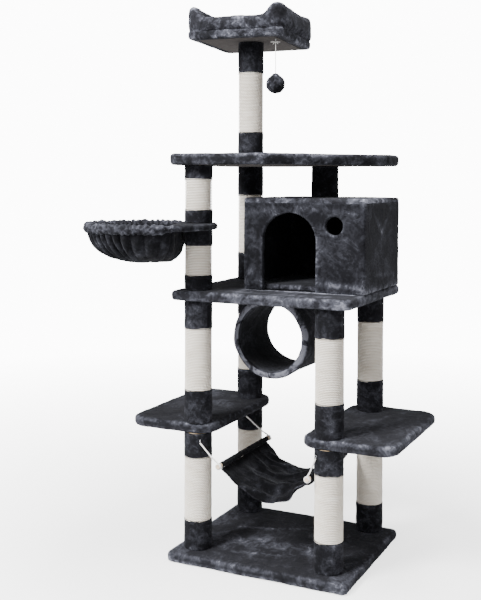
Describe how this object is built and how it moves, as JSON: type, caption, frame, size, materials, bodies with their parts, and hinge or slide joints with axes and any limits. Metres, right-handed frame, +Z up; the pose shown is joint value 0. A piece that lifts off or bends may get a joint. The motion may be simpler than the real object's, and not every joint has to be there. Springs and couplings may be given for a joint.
{
  "type": "cat tree",
  "caption": "Tall plush and sisal cat tree with platforms, a house, a tunnel, a swivelling basket, a swinging hammock, a rimmed perch and a hanging ball.",
  "frame": {"origin": "centre of the base's underside, on the floor", "axes": "+Z up, +Y from the open front to the rear, +X towards the house side"},
  "size_m": [1.0091, 0.9181, 1.8],
  "materials": {
    "charcoal_plush": "short velvet pile with a mottled nap",
    "sisal_rope": "tightly wound natural rope",
    "chipboard": "raw particle board",
    "cardboard_tube": "spiral-wound paper tube",
    "plug_wood": "raw wood",
    "dowel_wood": "smooth pale wood",
    "zinc_steel": "zinc plated",
    "underside_felt": "thin non-woven felt",
    "white_cord": "braided cord"
  },
  "bodies": {
    "frame": {"base_board": "chipboard", "base_cover": "charcoal_plush", "left_shelf_board": "chipboard", "left_shelf_cover": "charcoal_plush", "right_shelf_board": "chipboard", "right_shelf_cover": "charcoal_plush", "middle_board": "chipboard", "middle_cover": "charcoal_plush", "upper_board": "chipboard", "upper_cover": "charcoal_plush", "perch_board": "chipboard", "perch_cover": "charcoal_plush", "perch_rim": "charcoal_plush", "underside_felts": "underside_felt", "front_left_tubes": "cardboard_tube", "rear_left_tubes": "cardboard_tube", "front_right_tubes": "cardboard_tube", "rear_right_tubes": "cardboard_tube", "roof_post_tube": "cardboard_tube", "tube_end_plugs": "plug_wood", "front_left_lower_sisal": "sisal_rope", "front_left_middle_sisal": "sisal_rope", "front_left_upper_sisal": "sisal_rope", "rear_left_lower_sisal": "sisal_rope", "rear_left_middle_sisal": "sisal_rope", "rear_left_upper_sisal": "sisal_rope", "perch_post_sisal": "sisal_rope", "front_right_lower_sisal": "sisal_rope", "front_right_middle_sisal": "sisal_rope", "rear_right_lower_sisal": "sisal_rope", "rear_right_middle_sisal": "sisal_rope", "front_left_sleeves": "charcoal_plush", "rear_left_sleeves": "charcoal_plush", "front_right_sleeves": "charcoal_plush", "rear_right_sleeves": "charcoal_plush", "roof_post_sleeve": "charcoal_plush", "threaded_studs": "zinc_steel", "platform_bolts": "zinc_steel", "house_front_panel": "charcoal_plush", "house_back_panel": "charcoal_plush", "house_left_panel": "charcoal_plush", "house_right_panel": "charcoal_plush", "house_floor": "charcoal_plush", "house_roof": "charcoal_plush", "tunnel_tube": "cardboard_tube", "tunnel_cover": "charcoal_plush", "eye_screws": "zinc_steel"},
    "basket": {"basket_board": "chipboard", "basket_hoop": "zinc_steel", "basket_hoop_cover": "charcoal_plush", "basket_bag": "charcoal_plush"},
    "front_left_cord": {"front_left_hammock_cord": "white_cord"},
    "hammock": {"hammock_cloth": "charcoal_plush", "hammock_dowels": "dowel_wood"},
    "front_right_cord": {"front_right_hammock_cord": "white_cord"},
    "rear_left_cord": {"rear_left_hammock_cord": "white_cord"},
    "rear_right_cord": {"rear_right_hammock_cord": "white_cord"},
    "toy_swivel": {"toy_knot": "white_cord"},
    "toy": {"toy_cord": "white_cord", "toy_ball": "charcoal_plush"}
  },
  "joints": [
    {"name": "basket_swivel", "type": "hinge", "parent": "frame", "child": "basket", "pos_m": [-0.23, -0.172, 1.056], "axis": [0, 0, 1], "range_deg": [-65, 80]},
    {"name": "hammock_swing", "type": "hinge", "parent": "frame", "child": "front_left_cord", "pos_m": [-0.20189, -0.21214, 0.3763], "axis": [1, 0, 0], "range_deg": [-15, 15]},
    {"name": "hammock_level", "type": "hinge", "parent": "front_left_cord", "child": "hammock", "pos_m": [-0.135, -0.21514, 0.3197], "axis": [1, 0, 0], "range_deg": [-15, 15]},
    {"name": "front_right_cord_swing", "type": "hinge", "parent": "frame", "child": "front_right_cord", "pos_m": [0.1859, -0.21214, 0.3763], "axis": [1, 0, 0], "range_deg": [-15, 15]},
    {"name": "rear_left_cord_swing", "type": "hinge", "parent": "frame", "child": "rear_left_cord", "pos_m": [-0.22149, 0.16774, 0.3763], "axis": [1, 0, 0], "range_deg": [-15, 15]},
    {"name": "rear_right_cord_swing", "type": "hinge", "parent": "frame", "child": "rear_right_cord", "pos_m": [0.20549, 0.16774, 0.3763], "axis": [1, 0, 0], "range_deg": [-15, 15]},
    {"name": "toy_swing_past_post", "type": "hinge", "parent": "frame", "child": "toy_swivel", "pos_m": [-0.1054, 0.14762, 1.6727], "axis": [-0.8767, 0.4811, 0], "range_deg": [-45, 45]},
    {"name": "toy_swing_to_post", "type": "hinge", "parent": "toy_swivel", "child": "toy", "pos_m": [-0.1054, 0.14762, 1.6727], "axis": [0.4811, 0.8767, 0], "range_deg": [-45, 22]}
  ],
  "couplings": [
    {"joint": "hammock_level", "follows": "hammock_swing", "ratio": -1},
    {"joint": "front_right_cord_swing", "follows": "hammock_swing", "ratio": 1},
    {"joint": "rear_left_cord_swing", "follows": "hammock_swing", "ratio": 1},
    {"joint": "rear_right_cord_swing", "follows": "hammock_swing", "ratio": 1}
  ]
}
